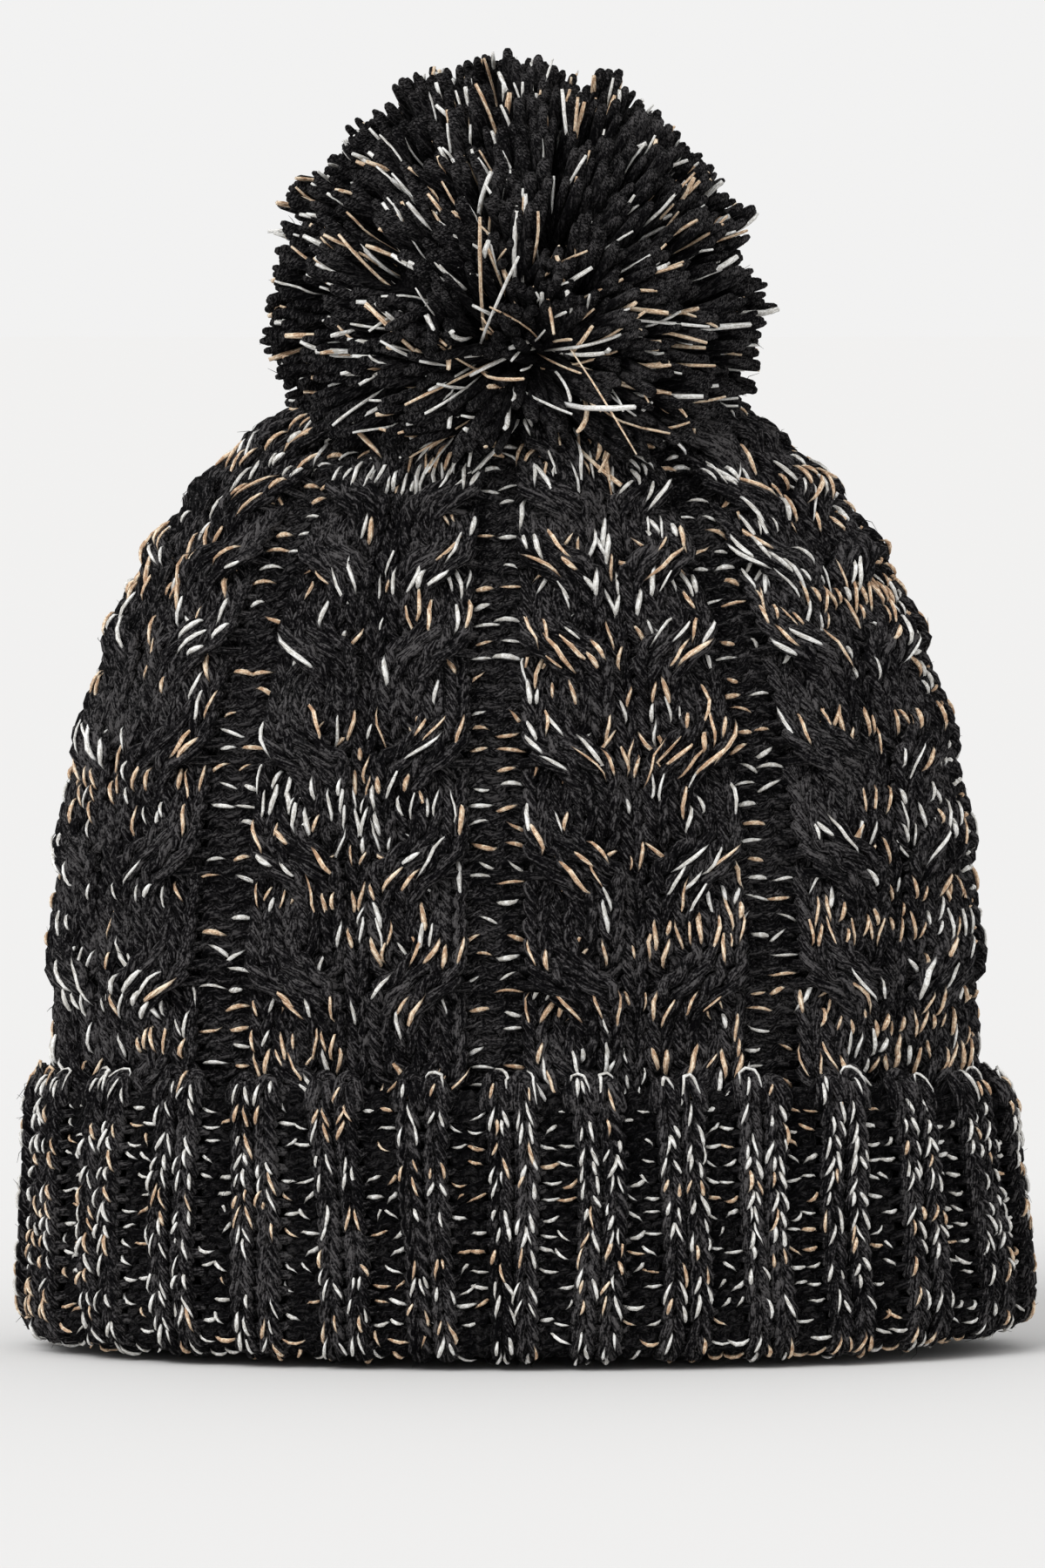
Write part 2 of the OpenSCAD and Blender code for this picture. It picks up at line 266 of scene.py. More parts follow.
def crown_fabric():
    wall = crown_wall()
    kinds = PANEL * PANELS
    kind = np.array([k for k, _ in kinds])
    slot = np.array([k for _, k in kinds], float)
    panel = np.repeat(np.arange(PANELS), len(PANEL))
    crossings = np.interp(CROSSINGS_Z, wall.profile[:, 2], wall.along)

    def rope_phase(s):
        theta = math.pi * (np.interp(s, crossings, np.arange(len(crossings))) + 0.5)
        return theta - CROSS_LAG * np.sin(2 * theta)

    def column(wale, s):
        phase = rope_phase(s)
        hand = np.where(kind[wale] == "left", 1.0, -1.0)
        strand = np.where(slot[wale] >= 2, 1.0, -1.0)       # the strand that starts on the right, or left
        within = np.where(slot[wale] % 2 == 0, -0.5, 0.5)
        spread = 1 + CROSS_SPREAD * np.sin(phase) ** 2
        across = hand * (strand * np.cos(phase)) * KNIT_MM
        lift = ROPE_LIFT + CROSS_LIFT * np.sin(phase) * strand
        # in the left rope the front strand runs down to the right, and in the right rope to the left
        rope_x = np.where(kind[wale] == "left", -ROPE_AT, ROPE_AT) + across + within * KNIT_MM * spread
        is_rope = (kind[wale] == "left") | (kind[wale] == "right")
        is_gutter = kind[wale] == "gutter"
        x = np.where(is_rope, rope_x, np.where(is_gutter, GUTTER_AT + slot[wale] * PURL_MM, 0.0))
        width = np.where(is_rope, KNIT_MM * spread, np.where(is_gutter, PURL_MM, KNIT_MM))
        lift = np.where(is_rope, lift, np.where(is_gutter, GUTTER_LIFT, SPINE_LIFT))
        total = PANEL_MM * PANELS
        girth = wall.girth(s)
        fade = np.clip((girth - RELIEF_GIRTH) / RELIEF_GROWTH, RELIEF_LEAST, 1)
        start = FIRST_GUTTER / girth.clip(min=400) - 0.5 / PANELS
        centre = start + (panel[wale] * PANEL_MM + x) / total
        flank = np.sin(TURN * centre) ** 8
        return centre, width / total, lift * fade * (1 - FLANK_SMOOTHING * flank)

    def order(s):
        phase = rope_phase(np.array(s))
        swapped = math.cos(phase) < 0
        sequence = []
        for p in range(PANELS):
            base = p * len(PANEL)
            plain, crossed = [0, 1, 2, 3], [2, 3, 0, 1]
            left = crossed if swapped else plain
            right = plain if swapped else crossed
            sequence += [base + k for k in left] + [base + 4]
            sequence += [base + 5 + k for k in right] + [base + 9, base + 10]
        return np.array(sequence)

    side = np.where(kind == "gutter", -1, 1)
    fabric = Fabric(wall, round(wall.length / CROWN_GAP), side, column, order)
    total = wall.girth(np.array(wall.length * 0.2)) / (PANEL_MM * PANELS)
    fabric.wale_mm = np.where(kind == "gutter", PURL_MM, KNIT_MM) * total
    return fabric


RIBS = 28
RIB_KNIT, RIB_PURL = 0.295, 0.205    # shares of a rib's pitch for each of its two knit and two purl wales
RIB_START = -2.7
RIB_LIFT = 1.6
FOLD_REACH, FOLD_RELIEF = 9.0, 0.35     # near the fold the ribs flatten to this share of their relief
SWAYS = (0.0016, 3, 0.055, 0), (0.0011, 7, -0.09, 2)   # size, waves round, change up the wall, and start


def brim_fabric():
    wall = brim_wall()
    widths = np.tile([RIB_KNIT, RIB_KNIT, RIB_PURL, RIB_PURL], RIBS) / RIBS
    centres = np.cumsum(widths) - widths / 2 - widths[0]
    side = np.tile([-1, -1, 1, 1], RIBS)
    fold_s = wall.along[np.argmin(wall.profile[:, 2])]

    def column(wale, s):
        start = RIB_START / wall.girth(s)
        sway = sum(size * np.sin(waves * TURN * centres[wale] + change * s + first)
                   for size, waves, change, first in SWAYS)
        off_fold = np.abs(s - fold_s)
        relief = FOLD_RELIEF + (1 - FOLD_RELIEF) * (off_fold / FOLD_REACH) ** 2
        lift = RIB_LIFT * side[wale] * np.where(off_fold < FOLD_REACH, relief, 1)
        return start + centres[wale] + sway, widths[wale] + np.zeros_like(s), lift

    def order(s):
        return np.arange(4 * RIBS)

    fabric = Fabric(wall, round(wall.length / BRIM_GAP), side, column, order,
                    depth=1.1, radius=1.24, bulge=0.22, pinch=0.04)
    fabric.wale_mm = widths * wall.girth(np.array(0.0))
    return fabric


# ---------------------------------------------------------------- materials

class Value:
    """A node's output. Arithmetic on it adds Math nodes."""

    def __init__(self, shader, socket):
        self.shader, self.socket = shader, socket

    def _math(self, operation, a, b):
        return self.shader.maths(operation, a, b)

    def __add__(self, other):
        return self._math("ADD", self, other)

    def __radd__(self, other):
        return self._math("ADD", other, self)

    def __sub__(self, other):
        return self._math("SUBTRACT", self, other)

    def __rsub__(self, other):
        return self._math("SUBTRACT", other, self)

    def __mul__(self, other):
        return self._math("MULTIPLY", self, other)

    def __rmul__(self, other):
        return self._math("MULTIPLY", other, self)


class Shader:
    """One material, built up from nodes."""

    def __init__(self, name):
        self.material = bpy.data.materials.new(name)
        self.material.use_nodes = True
        self.tree = self.material.node_tree
        self.tree.nodes.clear()

    def node(self, kind, settings=None, inputs=None, output=0):
        """Adds a node: first its settings, then its sockets' values or links. Returns an output."""
        made = self.tree.nodes.new(kind)
        for key, value in (settings or {}).items():
            if key == "stops":
                ramp = made.color_ramp
                while len(ramp.elements) < len(value):
                    ramp.elements.new(0.5)
                for element, (place, colour) in zip(ramp.elements, value):
                    element.position = place
                    element.color = (*colour, 1) if hasattr(colour, "__len__") else (colour,) * 3 + (1,)
            else:
                setattr(made, key, value)
        for key, value in (inputs or {}).items():
            if isinstance(value, Value):
                self.tree.links.new(value.socket, made.inputs[key])
            else:
                made.inputs[key].default_value = value
        return Value(self, made.outputs[output])

    def place(self):
        return self.node("ShaderNodeTexCoord", {}, output=3)

    def noise(self, place, scale, detail):
        return self.node("ShaderNodeTexNoise", {}, {"Vector": place, "Scale": scale, "Detail": detail})

    def waves(self, direction, place, scale, distortion, **more):
        return self.node("ShaderNodeTexWave", {"wave_type": "BANDS", "bands_direction": direction},
                         {"Vector": place, "Scale": scale, "Distortion": distortion, **more})

    def ramp(self, stops, value):
        return self.node("ShaderNodeValToRGB", {"stops": stops}, {0: value})

    def bump(self, height, strength, distance):
        return self.node("ShaderNodeBump", {}, {"Height": height, "Strength": strength, "Distance": distance})

    def maths(self, operation, *values):
        return self.node("ShaderNodeMath", {"operation": operation}, dict(enumerate(values)))

    def colour_mix(self, factor, a, b):
        return self.node("ShaderNodeMix", {"data_type": "RGBA"}, {0: factor, 6: a, 7: b}, output=2)

    def finish(self, inputs):
        principled = self.node("ShaderNodeBsdfPrincipled", {}, inputs)
        self.node_output(principled)
        return self.material

    def node_output(self, surface):
        made = self.tree.nodes.new("ShaderNodeOutputMaterial")
        self.tree.links.new(surface.socket, made.inputs["Surface"])


def streaked(sh, along, round_, cell_long, cells_round, spun, detail=2.0):
    """Noise drawn out along a yarn, from its length in mm and its place round, with the fibres' spin."""
    turned = round_ + along * spun
    place = sh.node("ShaderNodeCombineXYZ", {}, {0: along * (1 / cell_long), 1: turned * cells_round})
    return sh.node("ShaderNodeTexNoise", {"noise_dimensions": "2D"},
                   {"Vector": place, "Scale": 1.0, "Detail": detail, "Roughness": 0.7})


def yarn_material(name, dark, middle, light, yarn_mm, sheen, spin_mm=16.0, bump=1.0, shade_of=None,
                  shaded=None):
    """Loosely spun yarn: fibres drawn out along it, some of them pale, and slow changes of shade.

    shade_of gives how dark the yarn is, from its share of the way along: 0 is full colour, and 1 is the
    shaded colour, or the dark one where none is given.
    """
    sh = Shader(name)
    uv = sh.node("ShaderNodeUVMap", {"uv_map": "UVMap"})
    share = sh.node("ShaderNodeSeparateXYZ", {}, {0: uv}, output=0)
    along = share * yarn_mm
    round_ = sh.node("ShaderNodeSeparateXYZ", {}, {0: uv}, output=1)
    coarse = streaked(sh, along, round_, 3.2, 7.0, 1 / spin_mm)
    fine = streaked(sh, along, round_, 1.5, 16.0, 1 / spin_mm)
    place = sh.place()
    fuzz = sh.noise(place, 1700.0, 1.0)
    patches = sh.noise(place, 90.0, 2.0)
    pale = coarse * 0.9 + fine * 0.85 + fuzz * 0.65 + patches * 0.45 - 0.925       # 0.5 on average
    colour = sh.ramp([(0.34, dark), (0.52, middle), (0.70, light)], pale)
    if shade_of:
        colour = sh.colour_mix(shade_of(sh, share), colour, (*(shaded or dark), 1.0))
    height = coarse * 0.9 + fine * 0.6 + fuzz * 0.5
    return sh.finish({
        "Base Color": colour, "Roughness": 0.95, "Normal": sh.bump(height, bump, 0.0006),
        "Sheen Weight": sheen, "Sheen Roughness": 0.5, "Specular IOR Level": 0.02})


ROW_MM = 1600.0         # the yarn in one row
PLAIN_SHEEN, LIGHT_SHEEN = 0.01, 0.05
BLACK = [(0.0022, 0.0021, 0.0025), (0.013, 0.0125, 0.0132), (0.080, 0.076, 0.077)]


def painted_purl_shade(repeats, first, last, depth):
    """Painted shade: purl stitches lie deep between the knit ones, where little light reaches the fibres, so
    their colour is darkened.
    """
    def shade_of(sh, share):
        part = sh.maths("FRACT", share * repeats)
        return sh.maths("GREATER_THAN", part, first) * sh.maths("LESS_THAN", part, last) * depth
    return shade_of


def smooth_step(sh, value, low, high, start, end):
    return sh.node("ShaderNodeMapRange", {"interpolation_type": "SMOOTHSTEP"}, {
        "Value": value, "From Min": low, "From Max": high, "To Min": start, "To Max": end})


def rooted(sh, share):
    """A cut strand is in the shade of the others at its root."""
    return smooth_step(sh, share, 0.45, 0.8, 0.8, 0.0)


# Painted shade: a light strand darkens towards its root, deep in the shade of the black strands round it.
def pale_strand_root_shade(sh, share):
    return smooth_step(sh, share, 0.0, 0.35, 0.7, 0.0)


def dipping(sh, share):
    """A fleck dips under dark fibres at both ends."""
    return smooth_step(sh, sh.maths("ABSOLUTE", share * 2.0 - 1.0), 0.45, 1.0, 0.0, 0.85)


# the purl stitches of the crown and of the rib get painted shade in their colour
crown_yarn = yarn_material("crown_yarn", *BLACK, ROW_MM, PLAIN_SHEEN,
                           shade_of=painted_purl_shade(PANELS, 9 / len(PANEL), 1.0, 0.45))
rib_yarn = yarn_material("rib_yarn", *BLACK, ROW_MM, PLAIN_SHEEN, shade_of=painted_purl_shade(RIBS, 0.5, 1.0, 0.75))
back_yarn = yarn_material("back_yarn", *BLACK, 520.0, PLAIN_SHEEN)
plain_yarn = yarn_material("plain_yarn", *BLACK, 60.0, PLAIN_SHEEN)
pompom_black = yarn_material("pompom_black", *BLACK, 40.0, PLAIN_SHEEN, shade_of=rooted)
CREAM = [(0.50, 0.48, 0.44), (0.86, 0.85, 0.82), (1.0, 1.0, 0.98)]
TAN = [(0.42, 0.26, 0.16), (0.80, 0.59, 0.40), (1.0, 0.88, 0.70)]
# on the pompom's light strands this colour is painted shade at the root
UNDER_BLACK = (0.03, 0.028, 0.028)      # a light strand seen through black fibres


def light_looks(part, yarn_mm, bump, shade_of):
    """The cream and the tan yarn of the flecks, or of the pompom's light strands."""
    return {colour: yarn_material(f"{colour}_{part}", *tones, yarn_mm, LIGHT_SHEEN, bump=bump,
                                  shade_of=shade_of, shaded=UNDER_BLACK)
            for colour, tones in (("cream", CREAM), ("tan", TAN))}


fleck_looks = light_looks("fleck", 8.0, 0.5, dipping)
# the pompom's light strands get painted shade towards their roots
strand_looks = light_looks("strand", 14.0, 0.6, pale_strand_root_shade)
cream_yarn = yarn_material("cream_yarn", *CREAM, 150.0, LIGHT_SHEEN, bump=0.5)
stray_fibre = yarn_material(
    "stray_fibre", (0.012, 0.012, 0.012), (0.035, 0.034, 0.035), (0.085, 0.082, 0.082), 5.0, 0.0)


# ---------------------------------------------------------------- yarn as meshes

def tube_mesh(name, paths, sides=6, closed=False):
    """A mesh of tubes along paths of (points, radii) in mm."""
    curve = bpy.data.curves.new(name, "CURVE")
    curve.dimensions = "3D"
    curve.bevel_depth = MM
    curve.bevel_resolution = (sides - 4) // 2
    curve.use_fill_caps = not closed
    for points, radii in paths:
        spline = curve.splines.new("POLY")
        spline.points.add(len(points) - 1)
        flat = np.concatenate([points * MM, np.ones((len(points), 1))], axis=1)
        spline.points.foreach_set("co", flat.astype(np.float32).ravel())
        spline.points.foreach_set("radius", np.asarray(radii, np.float32))
        spline.use_cyclic_u = closed
        spline.use_smooth = True
    holder = bpy.data.objects.new(name + ".path", curve)
    bpy.context.scene.collection.objects.link(holder)
    solid = holder.evaluated_get(bpy.context.evaluated_depsgraph_get())
    mesh = bpy.data.meshes.new_from_object(solid)
    bpy.data.objects.remove(holder)
    bpy.data.curves.remove(curve)
    mesh.name = name
    if not closed:
        bm = bmesh.new()
        bm.from_mesh(mesh)
        bmesh.ops.remove_doubles(bm, verts=bm.verts, dist=1e-7)
        bm.to_mesh(mesh)
        bm.free()
    return mesh


def add_piece(name, mesh, material, body, slot, *nodes):
    piece = bpy.data.objects.new(name, mesh)
    bpy.context.scene.collection.objects.link(piece)
    mesh.materials.clear()
    mesh.materials.append(material)
    mesh.shade_smooth()
    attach(piece, body)
    if nodes:
        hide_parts(*nodes)
    return piece


def yarn_piece(name, paths, material, body, slot, *nodes, sides=6, closed=False):
    return add_piece(name, tube_mesh(name, paths, sides, closed), material, body, slot, *nodes)



# ---------------------------------------------------------------- flecks and stray fibres

# Flecks: their radius, half their length on a leg and on a purl's head, how much of a leg's own lean they
# keep, and the chances of a cream and of a tan one on a purl's head.
CROWN_FLECKS = {"radius": (0.30, 0.64), "leg_reach": (1.8, 5.2), "head_reach": (1.8, 3.9), "own": 0.5,
                "purl_chances": (0.33, 0.20)}
CUFF_FLECKS = {"radius": (0.30, 0.54), "leg_reach": (1.7, 3.4), "head_reach": (2.2, 4.0), "own": 0.9,
               "purl_chances": (0.32, 0.10)}
ARCH_REACH = 2.0, 4.6           # half of the length on a cast-on loop
FLECK_AIM, FLECK_BOW = 0.07, 0.12       # how much flecks vary in direction and bend
FLECK_SAG = 0.35                # how far their ends drop from a straight line
FLECK_ROLL, FLECK_TWIST = 0.3, 0.4      # how far off the yarn's top they lie, and turn along it, in radians
FLECK_PROUD, FLECK_DIP = 0.5, 1.9       # how far a fleck's middle stands out and its ends dip, in radii
FLECK_TIP = 0.12                # the thinness of an end
SLANT_OWN, SLANT_LONGER, SLANT_WIDER = 0.6, 0.7, 0.2    # what a slanting wale does to the flecks on it
GROUND = 0.6                    # flecks and fibres stay above the floor
FIBRE_RADII = (0.085, 0.07, 0.03)
MOODS = {  # chance of a cream and of a tan fleck on a hump of the yarn
    "black": (0.05, 0.04), "cream": (0.40, 0.08), "tan": (0.08, 0.40),
    "much_cream": (0.78, 0.06), "much_tan": (0.05, 0.80), "mixed": (0.30, 0.30)}


def stretches(count, mix, shortest, longest):
    """The chances along a row, in stretches of a few stitches that share a mood."""
    names = list(mix)
    odds = np.array([mix[n] for n in names], float)
    chances = np.zeros((count, 2))
    at = -rng.integers(0, longest)
    while at < count:
        length = int(rng.integers(shortest, longest + 1))
        mood = MOODS[names[rng.choice(len(names), p=odds / odds.sum())]]
        chances[max(at, 0):max(at + length, 0)] = mood
        at += length
    return chances


def along_path(array, index):
    """Values of a closed path's array at fractional indices."""
    low = np.floor(index).astype(int)
    share = (index - low)[..., None]
    n = len(array)
    return array[low % n] * (1 - share) + array[(low + 1) % n] * share


def yarn_axes(row, index, outward):
    """The yarn's middle, its outward face, its direction and its side at fractional indices."""
    middle = along_path(row["place"], index)
    face = outward * along_path(row["face"], index)
    ahead = unit(along_path(row["place"], index + 0.4) - along_path(row["place"], index - 0.4))
    side = unit(np.cross(ahead, face))
    return middle, unit(np.cross(side, ahead)), ahead, side


def flecks(row, wale, spots, outward, reach, width, kind):
    """Light strands that come to the top of the yarn for a short way and dip into it at both ends.

    spots are places along the row's yarn, in points. kind says how far a strand follows the yarn's bends,
    for how many points, how much of the yarn's own lean it keeps as it runs up the wale, and how many
    points it has.
    """
    follow, limit, own, steps = kind
    t = np.linspace(-1, 1, steps)[None, :]
    count = len(spots)
    centre, reach, width = spots[:, None], reach[:, None], width[:, None]
    step = np.linalg.norm(
        along_path(row["place"], centre + 0.5) - along_path(row["place"], centre - 0.5), axis=-1)
    index = centre + np.clip(t * reach / step, -limit, limit)
    path, face, _, side = yarn_axes(row, index, outward)
    middle, middle_face, ahead, _ = yarn_axes(row, centre, outward)
    run = row["run"][wale][:, None, :]
    own = own * (1 - SLANT_OWN * row["slant"][wale][:, None, None]) if own < 1 else 1.0
    aim = unit(ahead * own + run * np.sign((ahead * run).sum(axis=-1, keepdims=True)) * (1 - own))
    middle_side = unit(np.cross(aim, middle_face))
    aim = unit(aim + middle_side * rng.normal(0, FLECK_AIM, (count, 1, 1)))
    bow = rng.normal(0, FLECK_BOW, (count, 1)) * reach * (1 - t ** 2)
    sag = FLECK_SAG * t ** 2
    straight = middle + aim * (t * reach)[..., None]
    straight = straight + middle_side * bow[..., None] - middle_face * sag[..., None]
    place = path * follow + straight * (1 - follow)
    face = unit(face * follow + middle_face * (1 - follow))
    side = unit(side * follow + middle_side * (1 - follow))
    roll = rng.normal(0, FLECK_ROLL, (count, 1)) + rng.uniform(-FLECK_TWIST, FLECK_TWIST, (count, 1)) * t
    high = along_path(row["radius"][:, None], index)[..., 0] + width * (FLECK_PROUD - FLECK_DIP * t ** 4)
    place = place + face * (high * np.cos(roll))[..., None] + side * (high * np.sin(roll))[..., None]
    place[..., 2] = np.maximum(place[..., 2], GROUND)
    thin = width * (FLECK_TIP + (1 - FLECK_TIP) * (1 - np.abs(t) ** 1.7))
    return list(zip(place, thin))


LEGS, HEAD = (0.25, 0.75), (0.5,)       # the humps of a stitch that faces out, and of one that faces in
MOOD_ON_PURL = 0.45     # how far the stretch's mood counts on a purl's head
SHORTEST_MOOD, LONGEST_MOOD = 3, 12     # stitches
WALE_MM = 5.5           # the wale that the flecks' lengths are given for
ON_ARCH, ON_HEAD = (1.0, 4.5, 1.0, 8), (0.15, 1.6, 1.0, 6)      # kinds of fleck, as flecks() takes them


def row_flecks(row, outward, mix, store, density=1.0, look=CROWN_FLECKS, arched=False):
    """Flecks on the humps of the yarn that face out: a stitch's legs, or a purl's head."""
    legs = row["side"] * outward > 0
    chances = stretches(len(legs), mix, SHORTEST_MOOD, LONGEST_MOOD)
    chances[~legs] = MOOD_ON_PURL * chances[~legs] + look["purl_chances"]
    if arched:
        kinds = [(np.where(legs)[0], HEAD, ARCH_REACH, ON_ARCH)]
    else:
        kinds = [(np.where(legs)[0], LEGS, look["leg_reach"], (0.3, 3.0, look["own"], 6)),
                 (np.where(~legs)[0], HEAD, look["head_reach"], ON_HEAD)]
    for wales, humps, (shortest, longest), kind in kinds:
        wale = np.repeat(wales, len(humps))
        draw = rng.random(len(wale))
        cream_odds, tan_odds = chances[wale].T * density
        stray = 1.1 if arched else 0.5
        spot = (wale + np.tile(humps, len(wales))) * row["points"] - 0.5 + rng.normal(0, stray, len(wale))
        reach = shortest + (longest - shortest) * rng.random(len(wale)) ** 1.3
        slant = row["slant"][wale]
        reach *= (row["wale_mm"][wale] / WALE_MM) ** 0.5 * (1 + SLANT_LONGER * slant)
        width = rng.uniform(*look["radius"], len(wale)) * (1 + SLANT_WIDER * slant)
        for colour, chosen in (("cream", draw < cream_odds),
                               ("tan", (draw >= cream_odds) & (draw < cream_odds + tan_odds))):
            store[colour] += flecks(
                row, wale[chosen], spot[chosen], outward, reach[chosen], width[chosen], kind)


def row_fibres(row, outward, count, store):
    """Fine fibres that stray from the yarn: most lie along it, and a few stand off."""
    index = rng.uniform(0, len(row["place"]), count)
    middle, face, ahead, side = yarn_axes(row, index, outward)
    radius = along_path(row["radius"][:, None], index)
    roll = rng.uniform(-1.3, 1.3, (count, 1))
    root = middle + (face * np.cos(roll) + side * np.sin(roll)) * radius * 0.9
    sense = rng.choice([-1, 1], (count, 1))
    off = np.abs(rng.normal(0.06, 0.14, (count, 1)))
    aim = unit(ahead * sense + face * off + side * rng.normal(0, 0.35, (count, 1)))
    length = rng.uniform(1.4, 4.6, (count, 1))
    bend = rng.normal(0, 0.14, (count, 3)) * length
    for k in range(count):
        points = np.stack([
            root[k], root[k] + aim[k] * length[k] / 2 + bend[k], root[k] + aim[k] * length[k]])
        points[:, 2] = np.maximum(points[:, 2], GROUND - 0.2)
        store.append((points, FIBRE_RADII))


def fleck_pieces(name, store):
    for colour, material in fleck_looks.items():
        yarn_piece(f"{name}_{colour}_flecks", store[colour], material, "hat", f"{colour}_strand", sides=4)


def knit_pieces(name, fabric, yarn, cuts, slot, outward, mix, nodes, points=LOOP_POINTS, sides=6,
                density=1.0, look=CROWN_FLECKS, fibres=0):
    """Rows of knitting between the row numbers in cuts, a piece each, and what lies on them."""
    store = {"cream": [], "tan": []}
    stray = []
    for k, (first, last) in enumerate(zip(cuts[:-1], cuts[1:])):
        paths = []
        for number in range(first, last):
            row = fabric.row(number, points)
            paths.append((row["place"], row["radius"]))
            row_flecks(row, outward, mix, store, density, look)
            row_fibres(row, outward, fibres, stray)
        yarn_piece(f"{name}_rows_{k + 1}", paths, yarn, "hat", slot, *nodes, sides=sides, closed=True)
    fleck_pieces(name, store)
    if stray:
        yarn_piece(f"{name}_stray_fibres", stray, stray_fibre, "hat", slot, sides=4)


crown = crown_fabric()
brim = brim_fabric()
CROWN_MIX = {"black": 0.46, "cream": 0.17, "tan": 0.14, "much_cream": 0.08, "much_tan": 0.10, "mixed": 0.11}
CUFF_MIX = {"black": 0.15, "cream": 0.26, "tan": 0.08, "much_cream": 0.30, "much_tan": 0.05, "mixed": 0.16}
CUFF_ROWS = 20          # down to the fold; the rest are the inner band's
knit_pieces("crown", crown, crown_yarn, np.linspace(0, crown.rows, 5).astype(int), "crown_knit", 1,
            CROWN_MIX, ["cable_crown"], fibres=110)
knit_pieces("cuff", brim, rib_yarn, [0, CUFF_ROWS // 2, CUFF_ROWS], "rib_knit", -1, CUFF_MIX,
            ["turned_cuff", "cast_on_edge", "cuff_fold"], density=1.15, look=CUFF_FLECKS, fibres=170)
knit_pieces("band", brim, rib_yarn, [CUFF_ROWS, brim.rows], "rib_knit", -1, CUFF_MIX,
            ["rib_band"], points=10, sides=4, density=0.5, look=CUFF_FLECKS)


def crown_back():
    """The purl side of the crown, which is its inside: a ridge of yarn behind each row, a bump a stitch."""
    behind, ridge_r, joining_r = 2.9, 2.15, 3.0
    bumps = PANELS * len(PANEL)
    share = np.arange(2 * bumps) / (2 * bumps)
    bump = np.where(np.arange(2 * bumps) % 2 == 0, 0.55, -0.25)
    paths = []
    for number in range(crown.rows):
        s = np.full(2 * bumps, (number + 0.5) * crown.gap)
        place, _ = crown.wall.place(share, s, -behind - bump + rng.normal(0, 0.08, 2 * bumps))
        paths.append((place, ridge_r + 0.2 * bump))
    start, top = np.zeros(2 * bumps), np.full(2 * bumps, brim.wall.length)
    crown_start, _ = crown.wall.place(share, start, start - 2)
    band_top, _ = brim.wall.place(share, top, start)
    # the row that joins the crown to the rib
    paths.append(((crown_start + band_top) / 2, joining_r + 0.3 * bump))
    return paths


yarn_piece("crown_purl_side", crown_back(), back_yarn, "hat", "crown_knit", "cable_crown", sides=4,
           closed=True)


def cast_on_row():
    """The first loops of the ribs, which curl over the cuff's top edge."""
    points = 10
    yarn_r = 1.45
    tau = TURN * ((np.arange(points) + 0.5) / points - 0.5)
    wales = np.arange(4 * RIBS)
    ribbed = brim.side[wales][:, None] < 0
    arch = np.cos(tau / 2)[None, :] ** 0.8
    jitter = rng.normal(0, 1, (2, len(wales), 1))
    foot_s, arch_h, purl_s = 5.6, 6.4, 4.2      # down the wall from its edge
    s = np.where(ribbed, foot_s - (arch_h + 0.5 * jitter[0]) * arch, purl_s + 0.5 * np.cos(tau)[None, :])
    centre, width, lift = brim.column(wales[:, None], s)
    share = centre + width * (0.5 * np.sin(tau / 2) + 0.04 * jitter[1])
    lift = np.where(ribbed, -1.5 - 1.1 * arch, 0.5)
    place, face = brim.wall.place(share, np.clip(s, 0, None), lift)
    place[..., 2] += np.clip(-s, 0, 3)
    radius = np.full(place.shape[:2], yarn_r)
    return {"place": place.reshape(-1, 3), "face": face.reshape(-1, 3), "radius": radius.ravel(),
            "side": brim.side[wales], "wale_mm": brim.wale_mm, "points": points,
            "run": np.tile([0.0, 0.0, 1.0], (len(wales), 1)), "slant": np.zeros(len(wales))}


edge_row = cast_on_row()
yarn_piece("cast_on_loops", [(edge_row["place"], edge_row["radius"])], rib_yarn, "hat", "rib_knit",
           "cast_on_edge", closed=True)
edge_flecks = {"cream": [], "tan": []}
row_flecks(edge_row, -1, {"mixed": 1, "cream": 2, "much_cream": 3, "black": 1}, edge_flecks,
           look=CUFF_FLECKS, arched=True)
fleck_pieces("cast_on", edge_flecks)


# ---------------------------------------------------------------- pompom

HEART = np.array([0.6, 0.0, 229.5])     # where the strands are bound
PARTING = unit(np.array([0.10, -1.0, -0.20]))   # the strands part round this direction, front and back
BALL_R = BALL_HIGH[0] + 0.3
BALL_TOP = BALL_HIGH[2] - 1.2
DIMPLE, DIMPLE_ANGLE = 0.24, 0.34       # the strands are shorter round the parting


def ball_reach(direction):
    """A strand's reach from the heart: a round top, full sides, and a skirt that lies on the crown."""
    flat = np.hypot(direction[0], direction[1])
    up = direction[2]
    if up >= 0:
        reach = 1 / math.sqrt((flat / BALL_R) ** 2 + (up / (BALL_TOP - HEART[2])) ** 2)
    else:
        reach = BALL_R / max(flat, 0.5) ** 0.6 * (1 - 0.035 * min(1, -up / 0.3))
    return reach * (1 - DIMPLE * math.exp(-(off_parting(direction) / DIMPLE_ANGLE) ** 2))


def off_parting(direction):
    return math.acos(min(abs(float(direction @ PARTING)), 1.0))


STRAND_STEPS = np.array([0.0, 0.38, 0.7, 0.92, 0.98, 1.0])
STRAND_WIDTHS = np.array([0.9, 1.0, 1.04, 1.02, 0.86, 0.45])
LIGHT_STEPS = np.array([0.0, 0.18, 0.36, 0.54, 0.72, 0.88, 1.0])
LIGHT_WIDTHS = np.array([0.5, 0.8, 1.0, 1.0, 1.0, 1.15, 0.9])
LIGHT_SHARE = 0.38      # of the strands have a light one beside them
CREAM_SHARE = 0.58      # of the light ones
TUFTS, STRANDS = 420, 3200
LOOSE_SHARE = 0.14      # of the strands stand between the tufts
TUFT_PULL = 0.34        # how far a strand is drawn to its tuft
ROOT = 0.34             # where a black strand starts, as a share of its length
INNER_YARN = 0.73       # how far the inner yarn fills the ball
SKIRT_LOW, SKIRT_FRONT = 0.34, 0.12     # how far down strands point, and further at front and back


